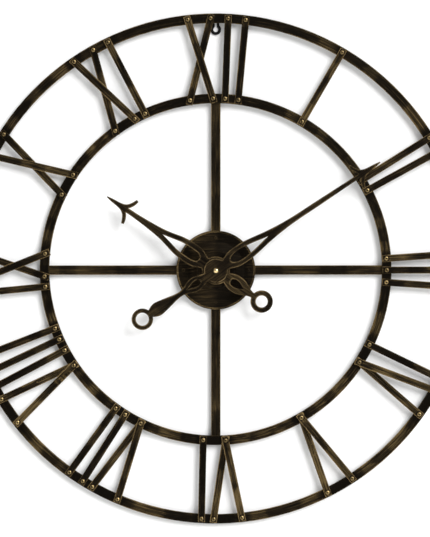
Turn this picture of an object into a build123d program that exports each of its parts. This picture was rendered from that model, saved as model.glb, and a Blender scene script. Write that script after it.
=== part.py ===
from build123d import *
import os
from math import acos, asin, atan2, cos, degrees, hypot, pi, radians, sin, sqrt, tan

# Large open iron wall clock with a battery movement.
# Every piece is drawn in a plan view: x to the right, y up, z the distance in front of the wall.
# stand() then turns the plan upright, so the finished clock faces -Y with +Z up and the wall at y = 0,
# and puts the origin at the keyhole it hangs by.

os.makedirs("parts", exist_ok=True)

# ---------------------------------------------------------------- driving dimensions, mm and degrees
BAR_T = 3.0  # thickness of all flat bar

OUTER_R = 622.8  # outer ring, outside radius
INNER_R = 429.0  # inner ring, outside radius
RING_W = 23.3  # width of both rings
RING_Z = 12.0  # back face of the rings above the wall

SPOKE_W = 22.8
SPOKE_START_R = 66.0
SPOKE_END_R = 413.0

STROKE_W = 16.9  # numeral bars
STROKE_OUT_R = 619.5  # outer end of a numeral bar
STROKE_IN_R = 407.0  # inner end of a numeral bar
X_FOOT_SPREAD = 7.6  # angle between the feet of an X on the inner ring
V_TOP_SPREAD = 6.5  # angle between the tops of a V on the outer ring
JOGGLE = 26.0  # length over which a bar rises by its own thickness

RIVET_SHANK_R = 2.4
RIVET_HEAD_R = 5.7
RIVET_HEAD_H = 2.4
RIVET_DIMPLE_R = 1.8
RIVET_TAIL_R = 3.4
RIVET_TAIL_H = 1.5
HOLE_GAP = 0.05

# numerals: each glyph is (letter, angle at the outer ring, angle at the inner ring, top spread)
# angles run clockwise from twelve o'clock, in degrees
NUMERALS = {
    "numeral_01": [("I", 30.1, 30.1, 0)],
    "numeral_02": [("I", 58.2, 58.3, 0), ("I", 61.9, 62.2, 0)],
    "numeral_03": [("I", 86.1, 86.1, 0), ("I", 90.0, 90.0, 0), ("I", 94.1, 94.1, 0)],
    "numeral_04": [("I", 115.9, 115.9, 0), ("V", 122.1, 122.7, V_TOP_SPREAD)],
    "numeral_05": [("V", 150.1, 149.9, V_TOP_SPREAD)],
    "numeral_06": [("V", 177.25, 176.75, V_TOP_SPREAD), ("I", 183.3, 184.25, 0)],
    "numeral_07": [("V", 206.45, 206.1, V_TOP_SPREAD), ("I", 212.25, 212.1, 0), ("I", 215.9, 215.9, 0)],
    "numeral_08": [("V", 235.7, 236.2, V_TOP_SPREAD), ("I", 242.1, 242.1, 0), ("I", 245.75, 246.2, 0),
                   ("I", 249.7, 250.1, 0)],
    "numeral_09": [("I", 264.5, 264.5, 0), ("X", 270.65, 271.75, 8.3)],
    "numeral_10": [("X", 299.9, 300.0, 5.6)],
    "numeral_11": [("X", 328.35, 328.0, 5.1), ("I", 334.7, 335.7, 0)],
    "numeral_12": [("X", 356.2, 355.2, 5.2), ("I", 2.8, 3.1, 0), ("I", 6.8, 7.5, 0)],
}

BOSS_R = 96.5  # round cover in the middle
BOSS_T = 1.5
BOSS_BEAD = 2.5  # rolled rim
BOSS_STEP_R = 43.0  # raised centre
BOSS_FACE_Z = 30.0
BOSS_RIVET_R = 79.0

HANGER_HOLE_Z = 585.0  # height of the keyhole's round hole above the hands' axis
HANGER_HOLE_R = 6.0
HANGER_SLOT_W = 5.6
HANGER_SEAT_Z = 600.0
HANGER_W = 26.0
HANGER_NECK_W = 17.0
HANGER_T = 2.0
BUMPER_R = 8.0
BUMPER_ANGLES = (165.0, 195.0)

HAND_T = 2.0
HOUR_TIME_ANGLE = -55.8  # hands stored at nine minutes past ten
MINUTE_TIME_ANGLE = 56.55
HOUR_Z = 35.0  # back face of the hour hand
MINUTE_Z = 40.0
HOUR_TIP = 318.5
MINUTE_TIP = 476.0
HOUR_HUB_R = 34.0
MINUTE_HUB_R = 29.0
HOUR_RING = (134.3, 27.3, 14.6)  # tail ring: distance behind the axis, outside and inside radius
MINUTE_RING = (214.0, 26.1, 15.8)

CASE_W = 56.0  # movement case, square
CASE_R = 4.0
CASE_WALL = 1.4
CASE_FRONT_Z = 27.5
CASE_SPLIT_Z = 18.0
CASE_BACK_Z = 8.5
BUSH_R = 4.0  # threaded bush of the movement
BUSH_TOP_Z = 34.2
PIPE_R = 2.6
PIPE_BORE_R = 1.8
ARBOR_R = 1.75
RUN_GAP = 0.05  # radial clearance of every running fit
PIVOT_R = 0.4
SHAFT_R = 0.6

CELL_R = 7.05
CELL_Y = -19.3
CELL_Z = 17.2

PRESSURE = radians(20)
BACKLASH = 0.03

# gear arbors, plan positions
MINUTE_WHEEL_DIST, MINUTE_WHEEL_DIR = 12.0, 60.0
KNOB_DIST, KNOB_DIR = 13.5, -25.0
THIRD_DIST, THIRD_DIR = 12.24, 150.0
FIFTH_DIST, FIFTH_DIR = 12.0, 60.0
ROTOR_DIST, ROTOR_DIR = 11.2, 20.0


# ---------------------------------------------------------------- helpers
def stand(shape):
    return Pos(0, 0, -HANGER_HOLE_Z) * Rot(90, 0, 0) * shape


def save(name, *solids):
    """Write one node; several separate solids may share it."""
    flat = []
    for item in solids:
        flat.extend(item.solids())
    for s in flat:
        s.label = name
    out = stand(flat[0]) if len(flat) == 1 else Compound(children=[stand(s) for s in flat])
    out.label = name
    export_step(out, f"parts/{name}.step")


def dial(radius, angle):
    """Plan position at a radius and a clock angle (clockwise from twelve)."""
    return radius * sin(radians(angle)), radius * cos(radians(angle))


def polar(origin, radius, direction):
    return origin[0] + radius * cos(radians(direction)), origin[1] + radius * sin(radians(direction))


def disc(r, z0, z1, at=(0, 0)):
    return Pos(at[0], at[1], z0) * extrude(Circle(r), amount=z1 - z0)


def ring(r_out, r_in, z0, z1, at=(0, 0)):
    return Pos(at[0], at[1], z0) * extrude(Circle(r_out) - Circle(r_in), amount=z1 - z0)


def block(x0, x1, y0, y1, z0, z1):
    return Pos((x0 + x1) / 2, (y0 + y1) / 2, (z0 + z1) / 2) * Box(x1 - x0, y1 - y0, z1 - z0)


def turned(profile):
    """Solid of revolution about the hands' axis from (radius, z) points."""
    face = Rot(90, 0, 0) * make_face(Polyline(*profile, close=True))
    return revolve(face, Axis.Z)


def on_line(p, q, radius, near_q):
    """Point on the line p-q at a given radius from the centre, on q's side or p's side."""
    dx, dy = q[0] - p[0], q[1] - p[1]
    length = hypot(dx, dy)
    dx, dy = dx / length, dy / length
    along = p[0] * dx + p[1] * dy
    root = sqrt(radius**2 - (p[0] ** 2 + p[1] ** 2 - along**2))
    options = [(p[0] + t * dx, p[1] + t * dy) for t in (-along - root, -along + root)]
    goal = q if near_q else p
    return min(options, key=lambda o: hypot(o[0] - goal[0], o[1] - goal[1]))


# ---------------------------------------------------------------- rings, spokes, boss
front_z = RING_Z + BAR_T  # front face of the rings, where the numeral bars lie
outer_mid = OUTER_R - RING_W / 2
inner_mid = INNER_R - RING_W / 2


def flat_strip(p, q, width, z0, z1):
    length = hypot(q[0] - p[0], q[1] - p[1])
    turn = degrees(atan2(q[1] - p[1], q[0] - p[0]))
    return Pos((p[0] + q[0]) / 2, (p[1] + q[1]) / 2, (z0 + z1) / 2) * Rot(0, 0, turn) * Box(length, width, z1 - z0)


def numeral_bar(p, q, steps):
    """Bar from p (outer ring) to q (inner ring); steps lists (start, end) stretches lying one thickness forward."""
    start = on_line(p, q, STROKE_OUT_R, False)
    end = on_line(p, q, STROKE_IN_R, True)
    length = hypot(end[0] - start[0], end[1] - start[1])
    low = [(0.0, front_z)]
    for a, b in steps:
        if a > 0:
            low += [(a - JOGGLE, front_z), (a, front_z + BAR_T)]
        else:
            low = [(0.0, front_z + BAR_T)]
        if b < length:
            low += [(b, front_z + BAR_T), (b + JOGGLE, front_z)]
    stepped_to_end = bool(steps) and steps[-1][1] >= length
    low.append((length, front_z + BAR_T if stepped_to_end else front_z))
    high = [(s, z + BAR_T) for s, z in reversed(low)]
    face = Rot(90, 0, 0) * make_face(Polyline(*low, *high, close=True))
    bar = extrude(face, amount=STROKE_W / 2, both=True)
    turn = degrees(atan2(end[1] - start[1], end[0] - start[0]))
    return Pos(start[0], start[1], 0) * Rot(0, 0, turn) * bar, start, length


def crossing(p1, q1, p2, q2):
    """Distance from p1 to where line p1-q1 meets line p2-q2."""
    ax, ay = q1[0] - p1[0], q1[1] - p1[1]
    bx, by = q2[0] - p2[0], q2[1] - p2[1]
    t = ((p2[0] - p1[0]) * by - (p2[1] - p1[1]) * bx) / (ax * by - ay * bx)
    return t * hypot(ax, ay)


bars = {}  # node name -> list of bar solids
outer_rivet_spots = []  # (angle, grip from ring back to bar front)
inner_rivet_spots = []
one_bar = 2 * BAR_T
two_bars = 3 * BAR_T

for name, glyphs in NUMERALS.items():
    bars[name] = []
    for letter, top, foot, spread in glyphs:
        if letter == "I":
            strokes = [(top, foot, [])]
        elif letter == "X":
            # the front bar runs from the counter-clockwise top to the clockwise foot and arches over the other
            a = dial(outer_mid, top - spread / 2), dial(inner_mid, foot + X_FOOT_SPREAD / 2)
            b = dial(outer_mid, top + spread / 2), dial(inner_mid, foot - X_FOOT_SPREAD / 2)
            start = on_line(a[0], a[1], STROKE_OUT_R, False)
            middle = crossing(*a, *b) + hypot(start[0] - a[0][0], start[1] - a[0][1])
            reach = STROKE_W / sin(radians(24)) * 0.5 + 11.0
            strokes = [
                (top - spread / 2, foot + X_FOOT_SPREAD / 2, [(middle - reach, middle + reach)]),
                (top + spread / 2, foot - X_FOOT_SPREAD / 2, []),
            ]
        else:
            # the counter-clockwise leg of a V lies over the other where they share a rivet
            strokes = [(top - spread / 2, foot, [(140.0, 400.0)]), (top + spread / 2, foot, [])]
        for number, (out_angle, in_angle, steps) in enumerate(strokes):
            p, q = dial(outer_mid, out_angle), dial(inner_mid, in_angle)
            bar, _, _ = numeral_bar(p, q, steps)
            for spot in (p, q):
                bar = bar - disc(RIVET_SHANK_R + HOLE_GAP, RING_Z - 5, front_z + 20, spot)
            bars[name].append(bar)
            outer_rivet_spots.append((out_angle, one_bar))
            if letter != "V":
                inner_rivet_spots.append((in_angle, one_bar))
            elif number == 0:
                inner_rivet_spots.append((in_angle, two_bars))

outer_ring = ring(OUTER_R, OUTER_R - RING_W, RING_Z, front_z)
inner_ring = ring(INNER_R, INNER_R - RING_W, RING_Z, front_z)
outer_ring = outer_ring - [
    disc(RIVET_SHANK_R + HOLE_GAP, RING_Z - 1, front_z + 1, dial(outer_mid, a)) for a, _ in outer_rivet_spots
]
inner_ring = inner_ring - [
    disc(RIVET_SHANK_R + HOLE_GAP, RING_Z - 1, front_z + 1, dial(inner_mid, a)) for a, _ in inner_rivet_spots
]
save("outer_ring", outer_ring)
save("inner_ring", inner_ring)
for name, solids in bars.items():
    save(name, *solids)


def rivet(grip, shank, head, head_h, tail, tail_h, dimple):
    """Domed rivet with its head towards the viewer; z = 0 is the back of the stack it grips."""
    dome = (head**2 + head_h**2) / (2 * head_h)
    cap = Pos(0, 0, grip + head_h - dome) * Sphere(dome)
    cap = cap & disc(head * 1.02, grip, grip + head_h + 1)
    body = cap + disc(shank, 0, grip) + ring_tail(tail, tail_h)
    if dimple:
        body = body - disc(dimple, grip + head_h - 1.3, grip + head_h + 1)
    return body


def ring_tail(r, h):
    return Pos(0, 0, -h) * extrude(Circle(r), amount=h)


def rivet_set(spots, radius):
    made = []
    for angle, grip in spots:
        x, y = dial(radius, angle)
        one = rivet(grip, RIVET_SHANK_R, RIVET_HEAD_R, RIVET_HEAD_H, RIVET_TAIL_R, RIVET_TAIL_H,
                    RIVET_DIMPLE_R)
        made.append(Pos(x, y, RING_Z) * one)
    return made


save("outer_rivets", *rivet_set(outer_rivet_spots, outer_mid))
save("inner_rivets", *rivet_set(inner_rivet_spots, inner_mid))

spoke_z = RING_Z - BAR_T
for name, angle in (("spoke_top", 0), ("spoke_right", 90), ("spoke_bottom", 180), ("spoke_left", 270)):
    spoke = flat_strip(dial(SPOKE_START_R, angle), dial(SPOKE_END_R, angle), SPOKE_W, spoke_z, RING_Z)
    spoke = spoke - disc(2.0 + HOLE_GAP, 0, 30, dial(BOSS_RIVET_R, angle))
    save(name, spoke)

flange_front = RING_Z + BOSS_T
boss = turned([
    (BUSH_R + 0.15, BOSS_FACE_Z), (BOSS_STEP_R - 2.0, BOSS_FACE_Z), (BOSS_STEP_R, BOSS_FACE_Z - 2.0),
    (BOSS_STEP_R + 3.0, 20.5), (70.0, flange_front), (BOSS_R - BOSS_BEAD - 1.0, flange_front),
    (BOSS_R - BOSS_BEAD, flange_front + 1.6), (BOSS_R - 1.0, flange_front + 1.6), (BOSS_R, flange_front + 0.4),
    (BOSS_R, RING_Z), (69.7, RING_Z), (BOSS_STEP_R + 1.6, 19.3), (BOSS_STEP_R - 1.6, BOSS_FACE_Z - 2.6),
    (BOSS_STEP_R - 2.6, BOSS_FACE_Z - BOSS_T), (BUSH_R + 0.15, BOSS_FACE_Z - BOSS_T),
])
boss = boss - [disc(2.0 + HOLE_GAP, 0, 40, dial(BOSS_RIVET_R, a)) for a in (0, 90, 180, 270)]
save("boss_cover", boss)
boss_rivet = rivet(BAR_T + BOSS_T, 2.0, 4.0, 1.5, 3.0, 1.2, 0)
save("boss_rivets", *[Pos(*dial(BOSS_RIVET_R, a), spoke_z) * boss_rivet for a in (0, 90, 180, 270)])

# ---------------------------------------------------------------- hanger and bumpers
half = HANGER_W / 2
hanger_top = 620.0
neck = HANGER_NECK_W / 2
plate = block(-neck, neck, HANGER_HOLE_Z, hanger_top, 0, HANGER_T) + disc(half, 0, HANGER_T, (0, HANGER_HOLE_Z))
plate = plate + block(-half, half, 606.0, hanger_top, 0, HANGER_T)
plate = plate - disc(HANGER_HOLE_R, -1, 5, (0, HANGER_HOLE_Z))
plate = plate - disc(HANGER_SLOT_W / 2, -1, 5, (0, HANGER_SEAT_Z))
plate = plate - block(-HANGER_SLOT_W / 2, HANGER_SLOT_W / 2, HANGER_HOLE_Z, HANGER_SEAT_Z, -1, 5)
# a narrow leg at the top bends forward to the ring, leaving room for a screw head behind it
leg_half = 9.0
plate = plate + block(-leg_half, leg_half, hanger_top - HANGER_T, hanger_top, 0, RING_Z)
plate = plate + block(-leg_half, leg_half, 609.0, hanger_top, RING_Z - HANGER_T, RING_Z)
save("keyhole_hanger", plate)

bumper = disc(BUMPER_R, 0, RING_Z) - disc(2.2, -1, 4)
save("wall_bumpers", *[Pos(*dial(outer_mid, a), 0) * bumper for a in BUMPER_ANGLES])


# ---------------------------------------------------------------- hands
def mirrored_face(*runs):
    """Closed face from runs of (half width, distance) points; each run is one smooth curve, corners between."""
    edges = []
    for side in (1, -1):
        for run in runs:
            pts = [(side * u, v) for u, v in run]
            edges.append(Spline(*pts) if len(pts) > 2 else Line(*pts))
    first, last = runs[0][0], runs[-1][-1]
    if first[0] > 0:
        edges.append(Line((-first[0], first[1]), first))
    if last[0] > 0:
        edges.append(Line((-last[0], last[1]), last))
    return make_face(edges)


def head_runs(tip, throat_half):
    """Right side of the three-point head, from the shaft up to the tip."""
    return [
        [(throat_half, tip - 59.0), (11.0, tip - 63.0), (19.0, tip - 67.2), (32.0, tip - 70.2)],
        [(32.0, tip - 70.2), (34.4, tip - 64.0)],
        [(34.4, tip - 64.0), (21.0, tip - 57.8), (10.8, tip - 49.0), (6.6, tip - 38.0), (2.8, tip - 8.0)],
        [(2.8, tip - 8.0), (1.4, tip)],
    ]


def hand(side, hub_r, tip, throat_half, loop, tail, tail_loop, ring_size, z, bore_r):
    blade = mirrored_face(side, *head_runs(tip, throat_half))
    back = mirrored_face(tail)
    distance, r_out, r_in = ring_size
    flat = blade + back + Circle(hub_r) + Pos(0, -distance) * Circle(r_out)
    flat = flat - mirrored_face(*loop) - mirrored_face(*tail_loop) - Pos(0, -distance) * Circle(r_in)
    flat = flat - Circle(bore_r)
    return Pos(0, 0, z) * extrude(flat, amount=HAND_T)


hour_bush_r = 8.0
minute_bush_r = 6.0
hour_hand = hand(
    side=[(14.4, 20.0), (15.4, 34.0), (21.9, 48.8), (25.2, 61.0), (26.1, 76.0), (25.1, 94.0), (22.8, 112.0),
          (17.4, 134.0), (12.5, 158.7), (8.8, 195.0), (7.0, 222.0), (6.1, HOUR_TIP - 59.0)],
    hub_r=HOUR_HUB_R, tip=HOUR_TIP, throat_half=6.1,
    loop=[[(0, 49.5), (7.1, 52.5), (11.2, 62.0), (12.0, 76.0), (11.6, 94.0), (10.0, 110.0)],
          [(10.0, 110.0), (4.6, 134.0), (0, 155.0)]],
    tail=[(9.4, -24.0), (14.9, -35.0), (19.6, -47.0), (20.9, -61.0), (19.4, -73.0), (14.2, -86.0), (8.6, -97.6),
          (6.8, -109.0)],
    tail_loop=[[(0, -43.5), (7.1, -47.0), (9.3, -55.0), (6.3, -69.0), (0, -82.0)]],
    ring_size=HOUR_RING, z=HOUR_Z, bore_r=hour_bush_r,
)
minute_hand = hand(
    side=[(10.4, 18.0), (13.4, 28.0), (21.1, 48.0), (23.2, 61.0), (23.4, 75.0), (21.9, 97.6), (18.2, 122.0),
          (14.0, 146.5), (10.8, 171.0), (8.5, 195.0), (6.9, 225.0), (6.4, 290.0), (5.4, 360.0),
          (5.0, MINUTE_TIP - 59.0)],
    hub_r=MINUTE_HUB_R, tip=MINUTE_TIP, throat_half=5.0,
    loop=[[(0, 42.5), (6.6, 47.5), (11.0, 60.0), (11.8, 73.0), (10.8, 88.0), (7.7, 110.0), (3.0, 134.0), (0, 151.5)]],
    tail=[(8.4, -20.0), (11.9, -35.0), (15.7, -48.8), (17.6, -61.0), (15.6, -73.0), (10.2, -86.0), (6.4, -98.0),
          (6.3, -110.0), (10.8, -134.0), (15.6, -158.0), (16.8, -171.0), (13.2, -183.0), (8.8, -191.0)],
    tail_loop=[[(0, -45.0), (5.4, -48.0), (7.1, -55.0), (5.1, -68.0), (0, -86.0)]],
    ring_size=MINUTE_RING, z=MINUTE_Z, bore_r=minute_bush_r,
)
hour_turn = Rot(0, 0, -HOUR_TIME_ANGLE)
minute_turn = Rot(0, 0, -MINUTE_TIME_ANGLE)
save("hour_hand", hour_turn * hour_hand)
save("minute_hand", minute_turn * minute_hand)
hour_bush = ring(hour_bush_r, PIPE_R, HOUR_Z - 0.4, HOUR_Z + HAND_T + 0.6)
minute_bush = ring(minute_bush_r, ARBOR_R, MINUTE_Z - 1.0, MINUTE_Z + HAND_T + 0.6)
save("hour_hand_bush", hour_bush)
save("minute_hand_bush", minute_bush)

nut_z = MINUTE_Z + HAND_T + 0.6
cap_r = 6.8
cap = disc(cap_r, nut_z, nut_z + 2.0)
cap = cap + (Pos(0, 0, nut_z + 2.0 + 4.4 - 7.4545) * Sphere(7.4545) & disc(cap_r, nut_z + 2.0, nut_z + 12))
cap = cap - disc(ARBOR_R, nut_z - 1, nut_z + 4.6)
save("cap_nut", cap)


# ---------------------------------------------------------------- gears
def involute(angle):
    return tan(angle) - angle


def gear(teeth, module, addendum, dedendum, z0, z1, at, tooth_at):
    """Spur gear; one tooth points in the plan direction tooth_at (degrees)."""
    pitch_r = teeth * module / 2
    base_r = pitch_r * cos(PRESSURE)
    tip_r = pitch_r + addendum * module
    root_r = pitch_r - dedendum * module
    half_pitch = (pi * module / 2 - BACKLASH) / (2 * pitch_r)

    def half_angle(r):
        if r <= base_r:
            return half_pitch + involute(PRESSURE)
        return half_pitch + involute(PRESSURE) - involute(acos(base_r / r))

    def at_polar(r, a):
        return r * cos(a), r * sin(a)

    foot_r = max(root_r, base_r)
    mid_r = (foot_r + tip_r) / 2
    step = 2 * pi / teeth
    edges = []
    for n in range(teeth):
        c = radians(tooth_at) + n * step
        rise = [at_polar(r, c - half_angle(r)) for r in (foot_r, mid_r, tip_r)]
        fall = [at_polar(r, c + half_angle(r)) for r in (tip_r, mid_r, foot_r)]
        edges += [ThreePointArc(*rise), Line(rise[2], fall[0]), ThreePointArc(*fall)]
        left, right = fall[2], at_polar(foot_r, c + step - half_angle(foot_r))
        if foot_r > root_r:
            low_left = at_polar(root_r, c + half_angle(foot_r))
            low_right = at_polar(root_r, c + step - half_angle(foot_r))
            edges += [Line(left, low_left), Line(low_left, low_right), Line(low_right, right)]
        else:
            edges.append(Line(left, right))
    return Pos(at[0], at[1], z0) * extrude(make_face(edges), amount=z1 - z0)


WHEEL = (0.45, 1.2)  # addendum and dedendum of the wheels, in modules
PINION = (1.0, 0.75)


def gap_at(direction, teeth):
    """Tooth direction that leaves a gap centred on the given direction."""
    return direction + 180.0 / teeth


minute_wheel_at = polar((0, 0), MINUTE_WHEEL_DIST, MINUTE_WHEEL_DIR)
knob_at = polar(minute_wheel_at, KNOB_DIST, KNOB_DIR)
third_at = polar((0, 0), THIRD_DIST, THIRD_DIR)
fifth_at = polar((0, 0), FIFTH_DIST, FIFTH_DIR)
rotor_at = polar(fifth_at, ROTOR_DIST, ROTOR_DIR)

# motion work: arbor pinion -> minute wheel -> hour wheel, and the setting knob on the minute wheel
arbor = disc(ARBOR_R, 19.5, 46.6) + gear(12, 0.5, *PINION, 22.6, 24.2, (0, 0), MINUTE_WHEEL_DIR)
arbor = arbor + disc(2.6, 19.5, 19.9) + disc(2.6, 21.0, 21.3)
arbor = arbor - disc(PIVOT_R + RUN_GAP, 19.0, 20.5)
save("minute_arbor", arbor)

minute_wheel = gear(36, 0.5, *WHEEL, 22.8, 24.0, (0, 0), gap_at(MINUTE_WHEEL_DIR + 180, 36))
minute_wheel = minute_wheel + gear(10, 0.48, *PINION, 24.0, 25.9, (0, 0), MINUTE_WHEEL_DIR + 180)
minute_wheel = minute_wheel - disc(0.8 + RUN_GAP, 20, 28)
save("minute_wheel", Pos(*minute_wheel_at) * minute_wheel)

hour_wheel = gear(40, 0.48, *WHEEL, 24.6, 25.8, (0, 0), gap_at(MINUTE_WHEEL_DIR, 40))
hour_wheel = hour_wheel + disc(PIPE_R, 24.6, HOUR_Z + HAND_T + 0.6)
hour_wheel = hour_wheel - disc(PIPE_BORE_R, 20, 50)
save("hour_wheel", hour_wheel)

# the minute wheel's teeth stand where the arbor pinion put them, so the knob gear is phased from them
teeth_36 = gap_at(MINUTE_WHEEL_DIR + 180, 36)
offset_36 = (KNOB_DIR - teeth_36) % 10.0  # how far the contact line is past the nearest tooth
knob_phase = KNOB_DIR + 180 + 180.0 / 18 + offset_36 * 36 / 18
knob_gear = gear(18, 0.5, *PINION, 22.8, 24.0, (0, 0), knob_phase)
knob = knob_gear + disc(1.5, 8.0, 22.8) + disc(6.5, 4.8, 8.0)
knob = knob - disc(0.8 + RUN_GAP, 23.0, 30)
knob = knob - [disc(0.7, 4, 9, polar((0, 0), 6.7, 15.0 * n)) for n in range(24)]
knob = knob - block(-4.0, 4.0, -0.6, 0.6, 4.0, 5.6)
save("setting_knob", Pos(*knob_at) * knob)

# going train: rotor -> fifth wheel -> seconds wheel -> third wheel -> centre wheel
rotor = gear(8, 0.4, *PINION, 13.4, 15.0, (0, 0), ROTOR_DIR + 180)
rotor = rotor + disc(3.2, 11.2, 12.8) + disc(SHAFT_R, 10.9, 21.3) + disc(PIVOT_R, 10.3, 22.0)
save("rotor", Pos(*rotor_at) * rotor)

fifth = gear(48, 0.4, *WHEEL, 13.8, 14.6, (0, 0), gap_at(ROTOR_DIR, 48))
fifth = fifth + gear(8, 0.5, *PINION, 14.6, 17.0, (0, 0), FIFTH_DIR + 180)
fifth = fifth + disc(SHAFT_R, 10.9, 21.3) + disc(PIVOT_R, 10.3, 22.0)
save("fifth_wheel", Pos(*fifth_at) * fifth)

seconds = gear(40, 0.5, *WHEEL, 15.8, 16.6, (0, 0), gap_at(FIFTH_DIR, 40))
seconds = seconds + gear(8, 0.36, *PINION, 16.6, 19.0, (0, 0), THIRD_DIR)
seconds = seconds + disc(SHAFT_R, 10.9, 19.3) + disc(PIVOT_R, 10.3, 20.3)
save("seconds_wheel", seconds)

third = gear(60, 0.36, *WHEEL, 18.0, 18.8, (0, 0), gap_at(THIRD_DIR + 180, 60))
third = third + gear(8, 0.34, *PINION, 18.8, 21.1, (0, 0), THIRD_DIR + 180)
third = third + disc(SHAFT_R, 10.9, 21.3) + disc(PIVOT_R, 10.3, 22.0)
save("third_wheel", Pos(*third_at) * third)

centre = gear(64, 0.34, *WHEEL, 20.2, 20.95, (0, 0), gap_at(THIRD_DIR, 64))
centre = centre - disc(ARBOR_R + RUN_GAP, 15, 25)
save("centre_wheel", centre)
save("friction_spring", ring(2.5, ARBOR_R, 19.9, 20.15))

# ---------------------------------------------------------------- movement case
inner_half = CASE_W / 2 - CASE_WALL
divider = (-11.95, -11.25)  # wall between the cell and the gears


def case_shell(z0, z1, floor_front):
    outer = Pos(0, 0, z0) * extrude(RectangleRounded(CASE_W, CASE_W, CASE_R), amount=z1 - z0)
    cavity_r = CASE_R - CASE_WALL
    c0, c1 = (z0 - 1, z1 - CASE_WALL) if floor_front else (z0 + CASE_WALL, z1 + 1)
    cavity = Pos(0, 0, c0) * extrude(RectangleRounded(2 * inner_half, 2 * inner_half, cavity_r), amount=c1 - c0)
    shell = outer - cavity
    wall = (z0, z1 - CASE_WALL) if floor_front else (z0 + CASE_WALL, z1)
    return shell + block(-inner_half, inner_half, divider[0], divider[1], *wall)


case_in_front = CASE_FRONT_Z - CASE_WALL
case_in_back = CASE_BACK_Z + CASE_WALL
bridge_z = (21.4, 22.2)

case_front = case_shell(CASE_SPLIT_Z, CASE_FRONT_Z, True)
case_front = case_front + disc(BUSH_R, CASE_FRONT_Z, BUSH_TOP_Z)
case_front = case_front + disc(0.8, bridge_z[1] + 0.1, case_in_front, minute_wheel_at)
case_front = case_front + disc(0.8, 23.2, case_in_front, knob_at)
posts = [(-24.0, -9.0), (24.0, -9.0), (-23.0, 23.0), (23.0, 23.0)]
for spot in posts:
    case_front = case_front + disc(1.6, bridge_z[1], case_in_front, spot)
case_front = case_front - disc(PIPE_R + RUN_GAP, 20, 40)
save("movement_case_front", case_front)

case_rear = case_shell(CASE_BACK_Z, CASE_SPLIT_Z, False)
case_rear = case_rear - block(-25.9, 25.9, -inner_half, -12.0, CASE_BACK_Z - 1, case_in_back + 0.1)
case_rear = case_rear - disc(1.5 + RUN_GAP, 0, 12, knob_at)
for spot in (third_at, fifth_at, rotor_at, (0, 0)):
    case_rear = case_rear + disc(1.4, case_in_back, 10.8, spot)
    case_rear = case_rear - disc(PIVOT_R + RUN_GAP, case_in_back + 0.2, 11.5, spot)
save("movement_case_rear", case_rear)

bridge = block(-26.4, 26.4, -10.9, 26.4, *bridge_z)
bridge = bridge & (Pos(0, 0, 20) * extrude(RectangleRounded(52.8, 52.8, CASE_R - CASE_WALL), amount=4))
bridge = bridge - disc(ARBOR_R + RUN_GAP, 20, 24) - disc(1.9, 20, 24, knob_at)
bridge = bridge - [disc(PIVOT_R + RUN_GAP, 20, 24, spot) for spot in (third_at, fifth_at, rotor_at)]
save("bridge_plate", bridge)

# motor: two-lobed stator, core, bobbin, coil
stator = block(-22, -18, 15.4, 25.4, 11.5, 12.3) + block(-22, 22, 15.4, 18.4, 11.5, 12.3)
stator = stator + block(11, 22, 9.0, 25.4, 11.5, 12.3) + block(8, 22, 18.4, 25.4, 11.5, 12.3)
stator = stator - disc(3.7, 11, 13, rotor_at)
save("stator", stator)
coil_y, coil_z = 23.3, 12.9
save("coil_core", block(-22, 21.5, coil_y - 1.5, coil_y + 1.5, 12.3, 13.3))


def along_x(r_out, x0, x1):
    return Pos(x0, coil_y, coil_z) * Rot(0, 90, 0) * extrude(Circle(r_out), amount=x1 - x0)


tube = block(-17, 6.5, coil_y - 1.9, coil_y + 1.9, 11.9, 13.9)
bobbin = tube + along_x(2.8, -17, -16) + along_x(2.8, 5.5, 6.5)
bobbin = bobbin - block(-23, 23, coil_y - 1.5, coil_y + 1.5, 12.3, 13.3)
save("coil_bobbin", bobbin)
save("coil", along_x(2.75, -16, 5.5) - tube)

# electronics and cell
save("circuit_board", block(-26.4, -13.0, -10.5, 12.0, 11.4, 12.4))
save("control_chip", block(-22.5, -17.5, -7.0, -2.0, 12.4, 13.4))
save("quartz_crystal", Pos(-20, 1.5, 13.9) * Rot(-90, 0, 0) * extrude(Circle(1.5), amount=8.0))


def cell_part(r, x0, x1):
    return Pos(x0, CELL_Y, CELL_Z) * Rot(0, 90, 0) * extrude(Circle(r), amount=x1 - x0)


save("battery_cell", cell_part(CELL_R, -24.9, 24.3) + cell_part(2.7, 24.3, 25.6))
low_y, high_y = CELL_Y - 4.5, CELL_Y + 4.5
minus = block(-26.6, -26.2, low_y, high_y, 11.0, 23.4) + cell_part(3.0, -26.2, -24.95)
save("contact_minus", minus)
save("contact_plus", block(26.2, 26.6, low_y, high_y, 11.0, 23.4) + cell_part(2.2, 25.65, 26.2))

# ---------------------------------------------------------------- fixing of the movement in the boss
thread_r = BUSH_R + RUN_GAP
save("gasket", ring(20.0, thread_r, CASE_FRONT_Z, BOSS_FACE_Z - BOSS_T))
save("fixing_washer", ring(9.0, thread_r, BOSS_FACE_Z, BOSS_FACE_Z + 0.8))
nut = Pos(0, 0, BOSS_FACE_Z + 0.8) * extrude(RegularPolygon(7.5, 6) - Circle(thread_r), amount=2.4)
save("fixing_nut", nut)
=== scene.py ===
import math

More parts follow.
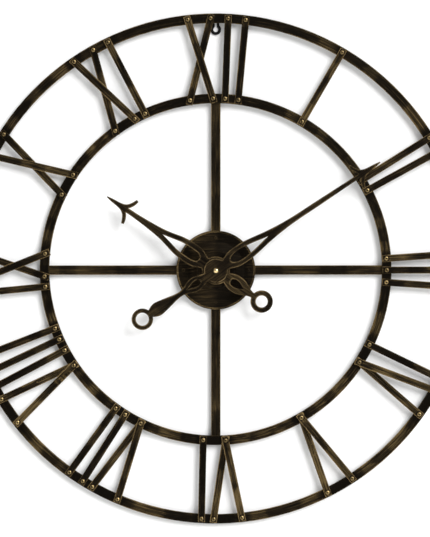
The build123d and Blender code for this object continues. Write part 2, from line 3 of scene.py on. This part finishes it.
import bpy
import numpy as np
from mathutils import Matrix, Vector


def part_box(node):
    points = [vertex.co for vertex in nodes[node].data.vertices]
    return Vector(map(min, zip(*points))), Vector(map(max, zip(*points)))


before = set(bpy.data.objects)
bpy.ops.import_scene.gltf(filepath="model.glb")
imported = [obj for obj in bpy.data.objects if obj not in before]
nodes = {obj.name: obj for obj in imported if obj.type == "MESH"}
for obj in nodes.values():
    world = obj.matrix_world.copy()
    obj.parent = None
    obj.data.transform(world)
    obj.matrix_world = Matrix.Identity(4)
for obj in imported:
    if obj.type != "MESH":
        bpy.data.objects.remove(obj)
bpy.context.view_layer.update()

# ------------------------------------------------------------------ places read from the frame
ring_low, ring_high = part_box("outer_ring")
AXIS_Z = (ring_low.z + ring_high.z) / 2  # height of the hands' axis
RING_SPLIT = (ring_high.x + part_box("inner_ring")[1].x) / 2  # a radius between the two rings
BOSS_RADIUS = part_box("boss_cover")[1].x
RIVET_HEAD = 0.0057  # radius
BAR_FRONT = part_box("numeral_01")[0].y
BAR_HALF_WIDTH = 0.0084  # of a numeral's bar
JOGGLE_STEP = 0.0005  # how far a bar's front must lie from BAR_FRONT to count as bent
HOUR_ANGLE = -55.8  # clock angles of the hands, in degrees from twelve
MINUTE_ANGLE = 56.55
EDGE_ROUNDING = 0.0010
NUMERALS = [f"numeral_{n:02d}" for n in range(1, 13)]
SPOKES = ["spoke_top", "spoke_right", "spoke_bottom", "spoke_left"]


# ------------------------------------------------------------------ mesh helpers
def coordinates(mesh):
    co = np.empty(len(mesh.vertices) * 3, np.float32)
    mesh.vertices.foreach_get("co", co)
    return co.reshape(-1, 3).astype(np.float64)


def islands(mesh):
    """Separate bodies of a mesh whose faces don't share vertices: an island number for each vertex."""
    co = coordinates(mesh)
    _, point = np.unique(np.round(co * 1e5).astype(np.int64), axis=0, return_inverse=True)
    point = point.reshape(-1)
    parent = list(range(int(point.max()) + 1))

    def find(i):
        while parent[i] != i:
            parent[i] = parent[parent[i]]
            i = parent[i]
        return i

    for poly in mesh.polygons:
        first = find(point[poly.vertices[0]])
        for v in poly.vertices[1:]:
            parent[find(point[v])] = first
    roots = np.array([find(p) for p in point])
    _, number = np.unique(roots, return_inverse=True)
    return number.reshape(-1), co


def put_vectors(mesh, name, values):
    layer = mesh.attributes.new(name, "FLOAT_VECTOR", "POINT")
    layer.data.foreach_set("vector", np.asarray(values, np.float32).reshape(-1))


def grain_bars(obj, first_seed):
    """Stores along, across and a seed for every bar of a node, so paint follows each bar."""
    mesh = obj.data
    number, co = islands(mesh)
    out = np.zeros((len(co), 3))
    for k in range(number.max() + 1):
        mine = number == k
        flat = co[mine][:, [0, 2]]
        centre = (flat.min(0) + flat.max(0)) / 2
        _, _, axes = np.linalg.svd(flat - flat.mean(0), full_matrices=False)
        axis = axes[0] if axes[0][1] >= 0 else -axes[0]
        side = np.array([axis[1], -axis[0]])
        across = (flat - centre) @ side
        across -= (across.min() + across.max()) / 2
        out[mine, 0] = (flat - centre) @ axis
        out[mine, 1] = across
        out[mine, 2] = first_seed + k * 1.37
    put_vectors(mesh, "grain", out)


def rivet_places(*names):
    """Centres, in plan, of every rivet of these nodes."""
    found = []
    for name in names:
        number, co = islands(nodes[name].data)
        for k in range(number.max() + 1):
            flat = co[number == k][:, [0, 2]]
            found.append((flat.min(0) + flat.max(0)) / 2)
    return np.array(found)


def grain_numeral(obj, first_seed, rivets):
    """Paint directions for a numeral's bars, each of which runs from an inner rivet to an outer one.

    grain holds along, across and a seed. rivets holds where the bar's two rivets are along it,
    and its tone.
    """
    mesh = obj.data
    number, co = islands(mesh)
    flat = co[:, [0, 2]]
    grain, marks = np.zeros((len(co), 3)), np.zeros((len(co), 3))
    count = 0
    for k in range(number.max() + 1):
        mine = np.flatnonzero(number == k)
        own = [r for r in rivets if np.linalg.norm(flat[mine] - r, axis=1).min() < 0.003]
        out = [r for r in own if math.hypot(r[0], r[1] - AXIS_Z) > RING_SPLIT]
        foot = [r for r in own if math.hypot(r[0], r[1] - AXIS_Z) < RING_SPLIT][0]
        out.sort(key=lambda r: math.atan2(r[0], r[1] - AXIS_Z) % (2 * math.pi))
        lines = []
        for top in out:
            axis = (top - foot) / np.linalg.norm(top - foot)
            lines.append(((top + foot) / 2, axis, np.linalg.norm(top - foot) / 2))
        across = np.array([(flat[mine] - c) @ np.array([d[1], -d[0]]) for c, d, _ in lines])
        which = np.argmin(abs(across), axis=0)
        if len(lines) == 2:  # the two legs of a V, one over the other at their shared rivet
            both = (abs(across) < BAR_HALF_WIDTH).all(axis=0)
            which[both] = np.where(co[mine][both][:, 1] < BAR_FRONT - JOGGLE_STEP, 0, 1)
        for n, (centre, axis, half) in enumerate(lines):
            here = mine[which == n]
            raised = co[here][:, 1].min() < BAR_FRONT - 0.002
            tone = 0.0
            if number.max() > 0 or len(lines) == 2:
                tone = 0.18 if raised else -0.22
            grain[here, 0] = (flat[here] - centre) @ axis
            grain[here, 1] = (flat[here] - centre) @ np.array([axis[1], -axis[0]])
            grain[here, 2] = first_seed + count * 1.37
            marks[here] = (-half, half, tone)
            count += 1
    put_vectors(mesh, "grain", grain)
    put_vectors(mesh, "rivets", marks)


def grain_line(obj, angle, seed):
    """Along and across for a hand pointing at a clock angle."""
    co = coordinates(obj.data)
    a = math.radians(angle)
    x, z = co[:, 0], co[:, 2] - AXIS_Z
    along = x * math.sin(a) + z * math.cos(a)
    across = x * math.cos(a) - z * math.sin(a)
    put_vectors(obj.data, "grain", np.stack([along, across, np.full(len(co), seed)], 1))


def grain_rivets(obj, first_seed):
    """Distance from its own axis, and a seed, for every rivet of a node."""
    number, co = islands(obj.data)
    out = np.zeros((len(co), 3))
    for k in range(number.max() + 1):
        mine = number == k
        flat = co[mine][:, [0, 2]]
        centre = (flat.min(0) + flat.max(0)) / 2
        out[mine, 0] = np.linalg.norm(flat - centre, axis=1)
        out[mine, 1] = co[mine][:, 0] - centre[0]
        out[mine, 2] = first_seed + k * 0.77
    put_vectors(obj.data, "grain", out)


def soften_edges(obj):
    """Rounds a CAD node's sharp edges with modifiers, leaving its own mesh as it is."""
    weld = obj.modifiers.new("weld", "WELD")
    weld.merge_threshold = 2e-5
    flat = obj.modifiers.new("planar", "DECIMATE")
    flat.decimate_type = "DISSOLVE"
    flat.angle_limit = math.radians(0.5)
    bevel = obj.modifiers.new("bevel", "BEVEL")
    bevel.width = EDGE_ROUNDING
    bevel.segments = 2
    bevel.limit_method = "ANGLE"
    bevel.angle_limit = math.radians(40)
    bevel.use_clamp_overlap = True
    normals = obj.modifiers.new("normals", "WEIGHTED_NORMAL")
    normals.keep_sharp = False
    for poly in obj.data.polygons:
        poly.use_smooth = True


# ------------------------------------------------------------------ node helpers
class Paint:
    """A material under construction; numbers or sockets go into any input."""

    def __init__(self, name):
        self.mat = bpy.data.materials.new(name)
        self.mat.use_nodes = True
        self.tree = self.mat.node_tree
        self.tree.nodes.clear()
        self.out = self.tree.nodes.new("ShaderNodeOutputMaterial")

    def make(self, kind, **settings):
        node = self.tree.nodes.new(kind)
        for key, value in settings.items():
            setattr(node, key, value)
        return node

    def link(self, value, socket):
        if isinstance(value, bpy.types.NodeSocket):
            self.tree.links.new(value, socket)
        elif isinstance(value, (tuple, list)) and socket.type == "RGBA" and len(value) == 3:
            socket.default_value = (*value, 1.0)
        else:
            socket.default_value = value

    def math(self, operation, a, b=0.0, clamp=False):
        node = self.make("ShaderNodeMath", operation=operation, use_clamp=clamp)
        for k, value in enumerate((a, b)):
            self.link(value, node.inputs[k])
        return node.outputs[0]

    def add(self, a, b):
        return self.math("ADD", a, b)

    def times(self, a, b):
        return self.math("MULTIPLY", a, b)

    def steps(self, value, low, high, to_low=0.0, to_high=1.0):
        """Smooth change from to_low to to_high while value goes from low to high."""
        node = self.make("ShaderNodeMapRange", interpolation_type="SMOOTHSTEP")
        for k, v in enumerate((value, low, high, to_low, to_high)):
            self.link(v, node.inputs[k])
        return node.outputs[0]

    def vector(self, x, y, z):
        node = self.make("ShaderNodeCombineXYZ")
        for k, v in enumerate((x, y, z)):
            self.link(v, node.inputs[k])
        return node.outputs[0]

    def split(self, vector):
        node = self.make("ShaderNodeSeparateXYZ")
        self.link(vector, node.inputs[0])
        return node.outputs

    def noise(self, vector, scale=1.0, detail=2.0, rough=0.5, distortion=0.0):
        node = self.make("ShaderNodeTexNoise")
        self.link(vector, node.inputs["Vector"])
        node.inputs["Scale"].default_value = scale
        node.inputs["Detail"].default_value = detail
        node.inputs["Roughness"].default_value = rough
        node.inputs["Distortion"].default_value = distortion
        return node.outputs[0]

    def blend(self, factor, a, b):
        node = self.make("ShaderNodeMix", data_type="RGBA")
        self.link(factor, node.inputs[0])
        self.link(a, node.inputs[6])
        self.link(b, node.inputs[7])
        return node.outputs[2]

    def attribute(self, name):
        return self.make("ShaderNodeAttribute", attribute_name=name).outputs["Vector"]

    def place(self):
        return self.make("ShaderNodeTexCoord").outputs["Object"]

    def from_axis(self):
        """Distances from the hands' axis: sideways, upwards and straight."""
        x, _, z = self.split(self.place())
        height = self.math("SUBTRACT", z, AXIS_Z)
        return x, height, self.math("SQRT", self.add(self.times(x, x), self.times(height, height)))

    def edge(self, radius, low=0.02, high=0.22):
        """1 on and beside sharp edges, 0 on flat faces."""
        bevel = self.make("ShaderNodeBevel", samples=6)
        bevel.inputs["Radius"].default_value = radius
        geometry = self.make("ShaderNodeNewGeometry")
        dot = self.make("ShaderNodeVectorMath", operation="DOT_PRODUCT")
        self.link(bevel.outputs[0], dot.inputs[0])
        self.link(geometry.outputs["True Normal"], dot.inputs[1])
        return self.steps(self.math("SUBTRACT", 1.0, dot.outputs["Value"]), low, high)

    def bump(self, height, distance, strength=1.0):
        node = self.make("ShaderNodeBump")
        node.inputs["Strength"].default_value = strength
        node.inputs["Distance"].default_value = distance
        self.link(height, node.inputs["Height"])
        return node.outputs[0]

    def finish(self, colour, rough=0.5, metal=0.0, normal=None, **sockets):
        bsdf = self.make("ShaderNodeBsdfPrincipled")
        self.link(colour, bsdf.inputs["Base Color"])
        self.link(rough, bsdf.inputs["Roughness"])
        self.link(metal, bsdf.inputs["Metallic"])
        if normal is not None:
            self.link(normal, bsdf.inputs["Normal"])
        for key, value in sockets.items():
            bsdf.inputs[key.replace("_", " ")].default_value = value
        self.tree.links.new(bsdf.outputs[0], self.out.inputs["Surface"])
        return self.mat


# ------------------------------------------------------------------ paint colours, linear
BLACK_IRON = (0.0012, 0.0009, 0.0007)
BROWN_IRON = (0.0105, 0.0073, 0.0040)
OLIVE_GOLD = (0.038, 0.0262, 0.0116)
GOLD = (0.125, 0.086, 0.036)
EDGE_GOLD = (0.36, 0.25, 0.115)


def iron(name, where, edge_radius=0.0042, level=0.0, contrast=1.0, edge_gold=1.0, shade=None):
    """Black iron paint with bronze and gold rubbed on along the bar, brightest on the edges."""
    p = Paint(name)
    along, across, seed = where(p)
    slot = p.times(seed, 9.1)
    wide = p.noise(p.vector(p.times(along, 13.0), p.times(across, 300.0), p.times(seed, 5.7)), detail=2.0)
    fine = p.noise(p.vector(p.times(along, 30.0), p.times(across, 640.0), p.times(seed, 3.3)),
                   detail=4.0, rough=0.6)
    grain = p.noise(p.vector(p.times(along, 380.0), p.times(across, 1100.0), seed), detail=3.0)
    zone = p.noise(p.vector(p.times(along, 8.0), p.times(across, 3.0), slot), detail=1.0)
    ragged = p.add(along, p.times(p.math("SUBTRACT", fine, 0.5), 0.05))
    stroke = p.noise(p.vector(p.times(ragged, 13.0), 0.0, p.add(slot, 40.0)), detail=0.0)
    stroke = p.steps(stroke, 0.50, 0.53)
    value = p.times(p.math("SUBTRACT", zone, 0.5), 1.4)
    value = p.add(value, p.times(p.math("SUBTRACT", wide, 0.5), 2.6))
    value = p.add(value, p.times(p.math("SUBTRACT", fine, 0.5), 2.3))
    value = p.add(value, p.times(p.math("SUBTRACT", grain, 0.5), 1.0))
    value = p.add(value, p.times(p.math("SUBTRACT", stroke, 0.5), 0.45))
    value = p.add(p.times(value, contrast), level)
    if shade is not None:
        value = p.math("SUBTRACT", value, shade(p))
    edge = p.edge(edge_radius)
    colour = p.blend(p.steps(value, -0.60, 0.05), BLACK_IRON, BROWN_IRON)
    colour = p.blend(p.steps(value, -0.05, 0.50), colour, OLIVE_GOLD)
    colour = p.blend(p.times(p.steps(value, 0.42, 0.95), 0.8), colour, GOLD)
    worn = p.times(edge, p.steps(p.add(value, p.times(wide, 0.6)), -0.75, 0.50, 0.12, 1.0))
    worn = p.times(worn, edge_gold(p) if callable(edge_gold) else edge_gold)
    colour = p.blend(p.math("MULTIPLY", worn, 0.85, clamp=True), colour, EDGE_GOLD)
    metal = p.add(p.times(p.steps(value, 0.1, 0.9), 0.30), p.times(worn, 0.30))
    rough = p.math("SUBTRACT", p.add(0.44, p.times(grain, 0.22)), p.times(worn, 0.12))
    height = p.add(p.times(wide, 0.6), p.add(p.times(grain, 0.35), p.times(fine, 0.7)))
    return p.finish(colour, rough, metal, p.bump(height, 0.00025, 0.8), Specular_IOR_Level=0.07,
                    Specular_Tint=(1.0, 0.80, 0.55, 1.0))


def along_bar(p):
    """Distance along the bar, distance across it, and its seed."""
    return p.split(p.attribute("grain"))


def round_ring(p):
    """Distance round the ring, distance from the axis, and no seed."""
    x, height, radius = p.from_axis()
    turn = p.math("ARCTAN2", x, height)
    return p.times(turn, 0.55), radius, 0.0


def numeral_spans(inner):
    """First and last clock angle, as a share of a turn, that each numeral covers on a ring."""
    spans = []
    for name in NUMERALS:
        co = coordinates(nodes[name].data)
        x, z = co[:, 0], co[:, 2] - AXIS_Z
        radius = np.hypot(x, z)
        here = radius < RING_SPLIT - 0.06 if inner else radius > RING_SPLIT + 0.06
        angle = np.arctan2(x[here], z[here])
        middle = math.atan2(np.sin(angle).mean(), np.cos(angle).mean())
        off = (angle - middle + math.pi) % (2 * math.pi) - math.pi
        spans.append([(middle + end) / (2 * math.pi) % 1.0 for end in (off.min(), off.max())])
    return spans


def dark_at_numerals(inner):
    """Shade that is 1 where a ring passes behind a numeral, with a soft start and end."""

    def shade(p):
        x, height, _ = p.from_axis()
        turn = p.math("ARCTAN2", x, height)
        share = p.math("FRACT", p.add(p.times(turn, 0.5 / math.pi), 1.0))
        node = p.make("ShaderNodeFloatCurve")
        curve = node.mapping.curves[0]
        for first, last in numeral_spans(inner):
            for at, value in ((first - 0.004, 0.0), (first, 1.0), (last, 1.0), (last + 0.004, 0.0)):
                curve.points.new(at % 1.0, value)
        for end in (0, -1):
            curve.points[end].location = (0.0 if end == 0 else 1.0, 1.0)
        for point in curve.points:
            point.handle_type = "VECTOR"
        node.mapping.update()
        p.link(share, node.inputs["Value"])
        mixed = p.noise(p.place(), scale=22.0, detail=1.0)
        return p.times(node.outputs[0], p.steps(mixed, 0.30, 0.60, 0.60, 1.0))

    return shade


def rivets_and_tone(p):
    """Darker ring round each of a bar's two rivets, and how dark the bar is."""
    along, across, _ = p.split(p.attribute("grain"))
    first, last, tone = p.split(p.attribute("rivets"))
    mask = 0.0
    for place in (first, last):
        step = p.math("SUBTRACT", along, place)
        away = p.math("SQRT", p.add(p.times(step, step), p.times(across, across)))
        mask = p.math("MAXIMUM", mask, p.steps(away, RIVET_HEAD + 0.0003, RIVET_HEAD + 0.0030, 0.65, 0.0))
    return p.math("SUBTRACT", mask, tone)


def across_boss(p):
    """Level brush lines over the boss."""
    x, y, z = p.split(p.place())
    return x, p.add(z, p.times(y, 0.6)), 4.4


def patchy(p):
    """Edge gold that comes and goes round the outline."""
    return p.steps(p.noise(p.place(), scale=26.0, detail=2.0), 0.35, 0.62, 0.12, 0.75)


def at_the_rim(p):
    """Edge gold round the boss's rim and hardly any on its rivets."""
    _, _, radius = p.from_axis()
    rim = p.steps(radius, BOSS_RADIUS - 0.006, BOSS_RADIUS - 0.004, 0.15, 1.2)
    return p.times(rim, p.steps(p.noise(p.place(), scale=18.0, detail=1.0), 0.35, 0.60, 0.35, 1.0))


# ------------------------------------------------------------------ materials
bar_iron = iron("aged_iron_bar", along_bar, level=-0.03, contrast=1.15, shade=rivets_and_tone)
outer_iron = iron("aged_iron_outer_ring", round_ring, level=-0.07, contrast=1.15,
                  shade=dark_at_numerals(False))
inner_iron = iron("aged_iron_inner_ring", round_ring, level=-0.10, contrast=1.15,
                  shade=dark_at_numerals(True))
spoke_iron = iron("aged_iron_spoke", along_bar, level=-0.14, contrast=0.85)
boss_iron = iron("aged_iron_boss", across_boss, level=-0.25, contrast=0.75, edge_gold=at_the_rim)
hand_iron = iron("aged_hand_metal", along_bar, edge_radius=0.0060, level=-0.08, contrast=0.75,
                 edge_gold=patchy)


def rivet_brass():
    """Brass dome with painted shade in its dimple and a dark line round its foot."""
    p = Paint("rivet_brass")
    distance, side, seed = p.split(p.attribute("grain"))
    spot = p.vector(p.times(distance, 450.0), p.times(side, 450.0), p.times(seed, 3.1))
    stain = p.noise(spot, detail=3.0)
    age = p.noise(p.vector(seed, p.times(seed, 2.3), 0.0), scale=3.0)
    colour = p.blend(p.steps(stain, 0.38, 0.66), (0.075, 0.050, 0.020), (0.42, 0.30, 0.13))
    # painted shade: the dimple in the middle of each head is coloured near black, as if in shadow
    colour = p.blend(p.steps(distance, 0.0017, 0.0025), (0.012, 0.008, 0.004), colour)
    colour = p.blend(p.steps(distance, 0.0044, 0.0054), colour, (0.014, 0.010, 0.005))
    colour = p.blend(p.steps(age, 0.35, 0.75, 0.0, 0.65), colour, (0.035, 0.025, 0.012))
    return p.finish(colour, p.add(0.18, p.times(stain, 0.25)), 0.75, p.bump(stain, 0.0001, 0.4),
                    Specular_IOR_Level=0.2)


def coated(name, colour, dark, rough, metal=0.0, scale=900.0, contrast=0.5, bump=0.00004, **sockets):
    """Moulded plastic, rubber, plated or bare metal: fine mottling and texture at its own scale."""
    p = Paint(name)
    place = p.place()
    mottle = p.noise(place, scale=scale * 0.12, detail=3.0)
    fine = p.noise(place, scale=scale, detail=2.0)
    edge = p.edge(0.0006, 0.02, 0.3)
    mixed = p.blend(p.times(p.steps(mottle, 0.3, 0.75), contrast), colour, dark)
    mixed = p.blend(p.times(edge, 0.18), mixed, tuple(min(1.0, c * 1.6 + 0.02) for c in colour))
    return p.finish(mixed, p.add(rough, p.times(fine, 0.12)), metal, p.bump(fine, bump, 0.6), **sockets)


def brushed(name, colour, dark, rough=0.3, axis=0):
    """Turned or rolled metal with fine lines."""
    p = Paint(name)
    parts = p.split(p.place())
    scales = [3000.0, 3000.0, 3000.0]
    scales[axis] = 60.0
    lines = p.noise(p.vector(*[p.times(parts[k], scales[k]) for k in range(3)]), detail=3.0)
    cloud = p.noise(p.place(), scale=140.0, detail=2.0)
    mixed = p.blend(p.steps(p.add(p.times(lines, 0.5), p.times(cloud, 0.5)), 0.3, 0.7), dark, colour)
    return p.finish(mixed, p.add(rough, p.times(lines, 0.15)), 1.0, p.bump(lines, 0.00002, 0.5))


def cap_brass():
    """Polished brass in the middle of the nut's dome, darker towards its foot."""
    p = Paint("cap_brass")
    _, _, radius = p.from_axis()
    stain = p.noise(p.place(), scale=380.0, detail=3.0)
    towards_foot = p.steps(p.add(radius, p.times(p.math("SUBTRACT", stain, 0.5), 0.004)), 0.0040, 0.0062)
    colour = p.blend(towards_foot, (0.95, 0.72, 0.36), (0.030, 0.021, 0.010))
    return p.finish(colour, p.add(0.16, p.times(towards_foot, 0.25)), 0.9, p.bump(stain, 0.0001, 0.5))


def cell_sleeve():
    """Battery wrapper in dark grey with a copper band, and bare steel ends."""
    p = Paint("cell_sleeve")
    x, _, _ = p.split(p.place())
    fine = p.noise(p.place(), scale=700.0)
    band = p.steps(x, 0.0150, 0.0152)
    ends = p.math("MAXIMUM", p.steps(x, 0.0236, 0.0238), p.steps(x, -0.0246, -0.0244, 1.0, 0.0))
    colour = p.blend(band, (0.03, 0.035, 0.045), (0.45, 0.20, 0.07))
    colour = p.blend(ends, colour, (0.62, 0.60, 0.57))
    metal = p.add(0.25, p.times(ends, 0.7))
    return p.finish(colour, p.add(0.22, p.times(fine, 0.1)), metal, p.bump(fine, 0.00002))


rivet = rivet_brass()
hanger_black = coated("hanger_black", (0.003, 0.003, 0.003), (0.007, 0.0065, 0.006), 0.42, scale=1200.0,
                      Specular_IOR_Level=0.12)
rubber = coated("rubber", (0.018, 0.018, 0.018), (0.03, 0.03, 0.028), 0.78, scale=1500.0, bump=0.00008)
bush_metal = brushed("bush_aluminium", (0.07, 0.052, 0.028), (0.02, 0.015, 0.009), 0.36)
turned_brass = brushed("turned_brass", (0.72, 0.50, 0.20), (0.48, 0.32, 0.12), 0.18)

bright_steel = brushed("bright_steel", (0.62, 0.62, 0.61), (0.42, 0.42, 0.41), 0.25)
motor_steel = brushed("motor_steel", (0.50, 0.50, 0.49), (0.34, 0.34, 0.33), 0.34)
case_black = coated("case_black", (0.016, 0.016, 0.017), (0.026, 0.026, 0.027), 0.55, scale=2200.0,
                    bump=0.00006)
knob_grey = coated("knob_grey", (0.16, 0.16, 0.165), (0.10, 0.10, 0.105), 0.5, scale=1800.0)
gear_white = coated("gear_white", (0.76, 0.74, 0.68), (0.66, 0.63, 0.56), 0.38, scale=1500.0)
rotor_dark = coated("rotor_magnet", (0.05, 0.05, 0.052), (0.09, 0.088, 0.085), 0.3, scale=1500.0)
copper = brushed("coil_copper", (0.70, 0.30, 0.12), (0.34, 0.12, 0.045), 0.3, axis=1)
board_green = coated("board_green", (0.012, 0.085, 0.030), (0.02, 0.12, 0.05), 0.34, scale=900.0)
chip_black = coated("chip_black", (0.01, 0.01, 0.011), (0.02, 0.02, 0.02), 0.25, scale=2500.0)

FINISHES = {
    "outer_rivets": rivet, "inner_rivets": rivet, "boss_rivets": boss_iron, "boss_cover": boss_iron,
    "outer_ring": outer_iron, "inner_ring": inner_iron, "hour_hand": hand_iron, "minute_hand": hand_iron,
    "cap_nut": cap_brass(), "keyhole_hanger": hanger_black, "wall_bumpers": rubber, "gasket": rubber,
    "hour_hand_bush": bush_metal, "minute_hand_bush": bush_metal, "fixing_nut": turned_brass,
    "minute_arbor": turned_brass, "centre_wheel": turned_brass, "fixing_washer": bright_steel,
    "friction_spring": bright_steel, "contact_minus": bright_steel, "contact_plus": bright_steel,
    "quartz_crystal": bright_steel, "stator": motor_steel, "coil_core": motor_steel, "coil": copper,
    "coil_bobbin": gear_white, "movement_case_front": case_black, "movement_case_rear": case_black,
    "setting_knob": knob_grey, "hour_wheel": gear_white, "minute_wheel": gear_white, "fifth_wheel": gear_white,
    "seconds_wheel": gear_white, "third_wheel": gear_white, "bridge_plate": gear_white, "rotor": rotor_dark,
    "circuit_board": board_green, "control_chip": chip_black, "battery_cell": cell_sleeve(),
}
FINISHES.update({name: bar_iron for name in NUMERALS})
FINISHES.update({name: spoke_iron for name in SPOKES})
for name, material in FINISHES.items():
    mesh = nodes[name].data
    mesh.materials.clear()
    mesh.materials.append(material)
    mesh.polygons.foreach_set("material_index", [0] * len(mesh.polygons))

# ------------------------------------------------------------------ paint directions and rounded edges
rivet_centres = rivet_places("outer_rivets", "inner_rivets")
for k, name in enumerate(NUMERALS + SPOKES):
    if name in NUMERALS:
        grain_numeral(nodes[name], 2.0 + 7.3 * k, rivet_centres)
    else:
        grain_bars(nodes[name], 2.0 + 7.3 * k)
    soften_edges(nodes[name])
grain_line(nodes["hour_hand"], HOUR_ANGLE, 31.0)
grain_line(nodes["minute_hand"], MINUTE_ANGLE, 47.0)
for name in ("hour_hand", "minute_hand", "outer_ring", "inner_ring"):
    soften_edges(nodes[name])
grain_rivets(nodes["outer_rivets"], 0.0)
grain_rivets(nodes["inner_rivets"], 60.0)

# ------------------------------------------------------------------ wall, floor, light, camera
WALL_Y = 0.0006  # just clear of the bumpers
ROOM = 6.0  # half the width of wall and floor
FLOOR_Z = AXIS_Z - 1.75
scene = bpy.context.scene


def plane(name, corners):
    mesh = bpy.data.meshes.new(name)
    mesh.from_pydata(corners, [], [(0, 1, 2, 3)])
    obj = bpy.data.objects.new(name, mesh)
    scene.collection.objects.link(obj)
    return obj


def pale(name, colour, see_through_from_behind):
    """Matt white paint. The wall is clear seen from behind, and to light, to show the clock's back."""
    p = Paint(name)
    texture = p.noise(p.place(), scale=90.0, detail=3.0)
    shade = p.blend(p.times(texture, 0.05), colour, (colour[0] * 0.9, colour[1] * 0.9, colour[2] * 0.9))
    diffuse = p.make("ShaderNodeBsdfDiffuse")
    p.link(shade, diffuse.inputs["Color"])
    if not see_through_from_behind:
        p.tree.links.new(diffuse.outputs[0], p.out.inputs["Surface"])
        return p.mat
    clear = p.make("ShaderNodeBsdfTransparent")
    mix = p.make("ShaderNodeMixShader")
    geometry = p.make("ShaderNodeNewGeometry")
    light_path = p.make("ShaderNodeLightPath")
    clear_share = p.math("MAXIMUM", geometry.outputs["Backfacing"], light_path.outputs["Is Shadow Ray"])
    p.tree.links.new(clear_share, mix.inputs[0])
    p.tree.links.new(diffuse.outputs[0], mix.inputs[1])
    p.tree.links.new(clear.outputs[0], mix.inputs[2])
    p.tree.links.new(mix.outputs[0], p.out.inputs["Surface"])
    return p.mat


wall = plane("wall", [(-ROOM, WALL_Y, FLOOR_Z), (ROOM, WALL_Y, FLOOR_Z), (ROOM, WALL_Y, 4),
                      (-ROOM, WALL_Y, 4)])
wall.data.materials.append(pale("wall_white", (0.94, 0.94, 0.94), True))
floor = plane("floor", [(-ROOM, -9, FLOOR_Z), (ROOM, -9, FLOOR_Z), (ROOM, WALL_Y, FLOOR_Z),
                        (-ROOM, WALL_Y, FLOOR_Z)])
floor.data.materials.append(pale("floor_pale", (0.86, 0.86, 0.85), False))

world = bpy.data.worlds.new("studio")
scene.world = world
world.use_nodes = True
background = world.node_tree.nodes["Background"]
background.inputs["Color"].default_value = (1.0, 0.997, 0.992, 1.0)
background.inputs["Strength"].default_value = 0.40
scene.view_settings.view_transform = "Standard"


def big_softbox(name, towards, width, strength):
    """Wide even light from the direction towards; width is its angle in degrees."""
    light = bpy.data.lights.new(name, "SUN")
    light.angle = math.radians(width)
    light.energy = strength
    obj = bpy.data.objects.new(name, light)
    obj.rotation_mode = "QUATERNION"
    obj.rotation_quaternion = Vector(towards).to_track_quat("Z", "Y")
    scene.collection.objects.link(obj)


big_softbox("key", (0.80, -1.0, 0.77), 38.0, 3.30)
big_softbox("back_fill", (0.35, 1.0, 0.45), 60.0, 1.6)

CLOCK_SHARE = 510.7 / 537.0  # outer diameter over the picture's height
FRAME_HEIGHT = (ring_high.x - ring_low.x) / CLOCK_SHARE
DISTANCE = 4.2  # of the camera from the wall
camera = bpy.data.cameras.new("camera")
camera.sensor_width = 36.0
camera.lens = 36.0 * (DISTANCE + ring_low.y) / FRAME_HEIGHT
camera_object = bpy.data.objects.new("camera", camera)
down, aside = math.radians(2.5), math.radians(0.7)
target = Vector((-0.0020, ring_low.y, AXIS_Z + 0.0040))
away = Vector((-math.sin(aside) * math.cos(down), -math.cos(aside) * math.cos(down), math.sin(down)))
camera_object.location = target + away * (DISTANCE + ring_low.y)
camera_object.rotation_mode = "QUATERNION"
camera_object.rotation_quaternion = away.to_track_quat("Z", "Y")
scene.collection.objects.link(camera_object)
scene.camera = camera_object
